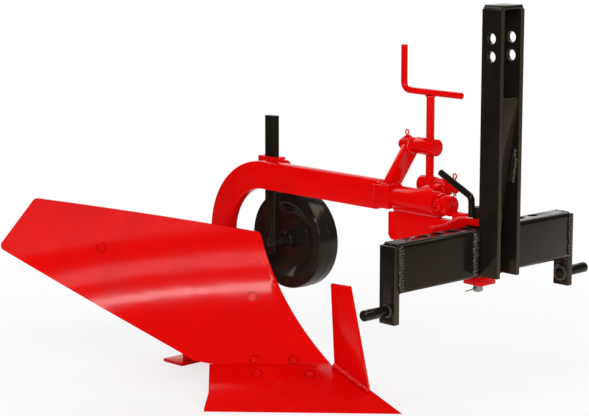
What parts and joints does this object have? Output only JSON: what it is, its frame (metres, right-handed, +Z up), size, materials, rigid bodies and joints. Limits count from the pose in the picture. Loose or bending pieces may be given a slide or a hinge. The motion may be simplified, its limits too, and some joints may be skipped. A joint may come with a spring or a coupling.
{
  "type": "moldboard plough",
  "caption": "Single-furrow moldboard plough for a small tractor's three-point linkage, with a tilt screw, a landside with heel, a fin coulter and a gauge wheel.",
  "frame": {"origin": "middle of the bounding box in plan, on the floor that the share and heel stand on", "axes": "+X forward, the way the plough is pulled; +Y left, the landside; +Z up"},
  "size_m": [1.1272, 0.7872, 0.903],
  "materials": {
    "black_frame": "gloss black enamel",
    "black_wheel": "gloss black enamel on pressed steel",
    "black_stem": "gloss black enamel",
    "red_beam": "gloss red enamel",
    "red_head": "gloss red enamel",
    "red_board": "gloss red enamel over rolled plate",
    "red_screw": "gloss red enamel"
  },
  "bodies": {
    "hitch": {"crossbar": "black_frame", "end_plate_right": "black_frame", "end_plate_left": "black_frame", "link_pin_right": "black_frame", "link_pin_left": "black_frame", "mast_bar_right": "black_frame", "mast_bar_left": "black_frame", "mast_cap": "black_frame", "mast_panel": "black_frame", "head_top_plate": "red_head", "head_base_plate": "red_head", "head_back_plate": "red_head", "head_web": "red_head", "roll_tube": "red_head", "draw_pin": "black_frame", "lower_bush": "red_head", "bush_gusset": "red_head"},
    "plough": {"tilt_arm": "red_beam", "upper_bush": "red_beam", "beam": "red_beam", "beam_block": "red_beam", "roll_shaft": "red_beam", "shaft_collar": "red_beam", "moldboard": "red_board", "share": "red_board", "coulter": "red_board", "landside": "red_beam", "heel_foot": "red_beam", "heel_flange": "red_beam", "frog": "red_beam", "frog_saddle": "red_beam", "frog_lug": "red_beam", "tail_stay": "red_beam", "stem_sleeve": "red_beam", "clamp_bolt": "red_beam"},
    "swivel": {"swivel": "red_screw"},
    "crank": {"tilt_screw": "red_screw", "crank_handle": "red_screw"},
    "nut": {"tilt_nut": "red_screw"},
    "stem": {"gauge_stem": "black_stem", "wheel_axle": "black_stem"},
    "wheel": {"gauge_wheel": "black_wheel"}
  },
  "joints": [
    {"name": "roll_tilt", "type": "hinge", "parent": "hitch", "child": "plough", "pos_m": [0.31364, 0.05162, 0.48], "axis": [1, 0, 0], "range_deg": [-10, 10]},
    {"name": "swivel_turn", "type": "hinge", "parent": "hitch", "child": "swivel", "pos_m": [0.29364, 0.11163, 0.505], "axis": [1, 0, 0], "range_deg": [-13.2, 13.2]},
    {"name": "crank_turn", "type": "hinge", "parent": "swivel", "child": "crank", "pos_m": [0.29064, 0.11163, 0.701], "axis": [0, 0, 1], "continuous": true},
    {"name": "nut_turn", "type": "hinge", "parent": "plough", "child": "nut", "pos_m": [0.27364, 0.11163, 0.585], "axis": [1, 0, 0], "range_deg": [-3.2, 3.2]},
    {"name": "stem_slide", "type": "slide", "parent": "plough", "child": "stem", "axis": [0, 0, 1], "range_m": [-0.08, 0.09]},
    {"name": "wheel_spin", "type": "hinge", "parent": "stem", "child": "wheel", "pos_m": [-0.17486, 0.16212, 0.317], "axis": [0, 1, 0], "continuous": true}
  ],
  "couplings": [
    {"joint": "swivel_turn", "follows": "roll_tilt", "ratio": 1.3125},
    {"joint": "nut_turn", "follows": "roll_tilt", "ratio": 0.3125}
  ]
}
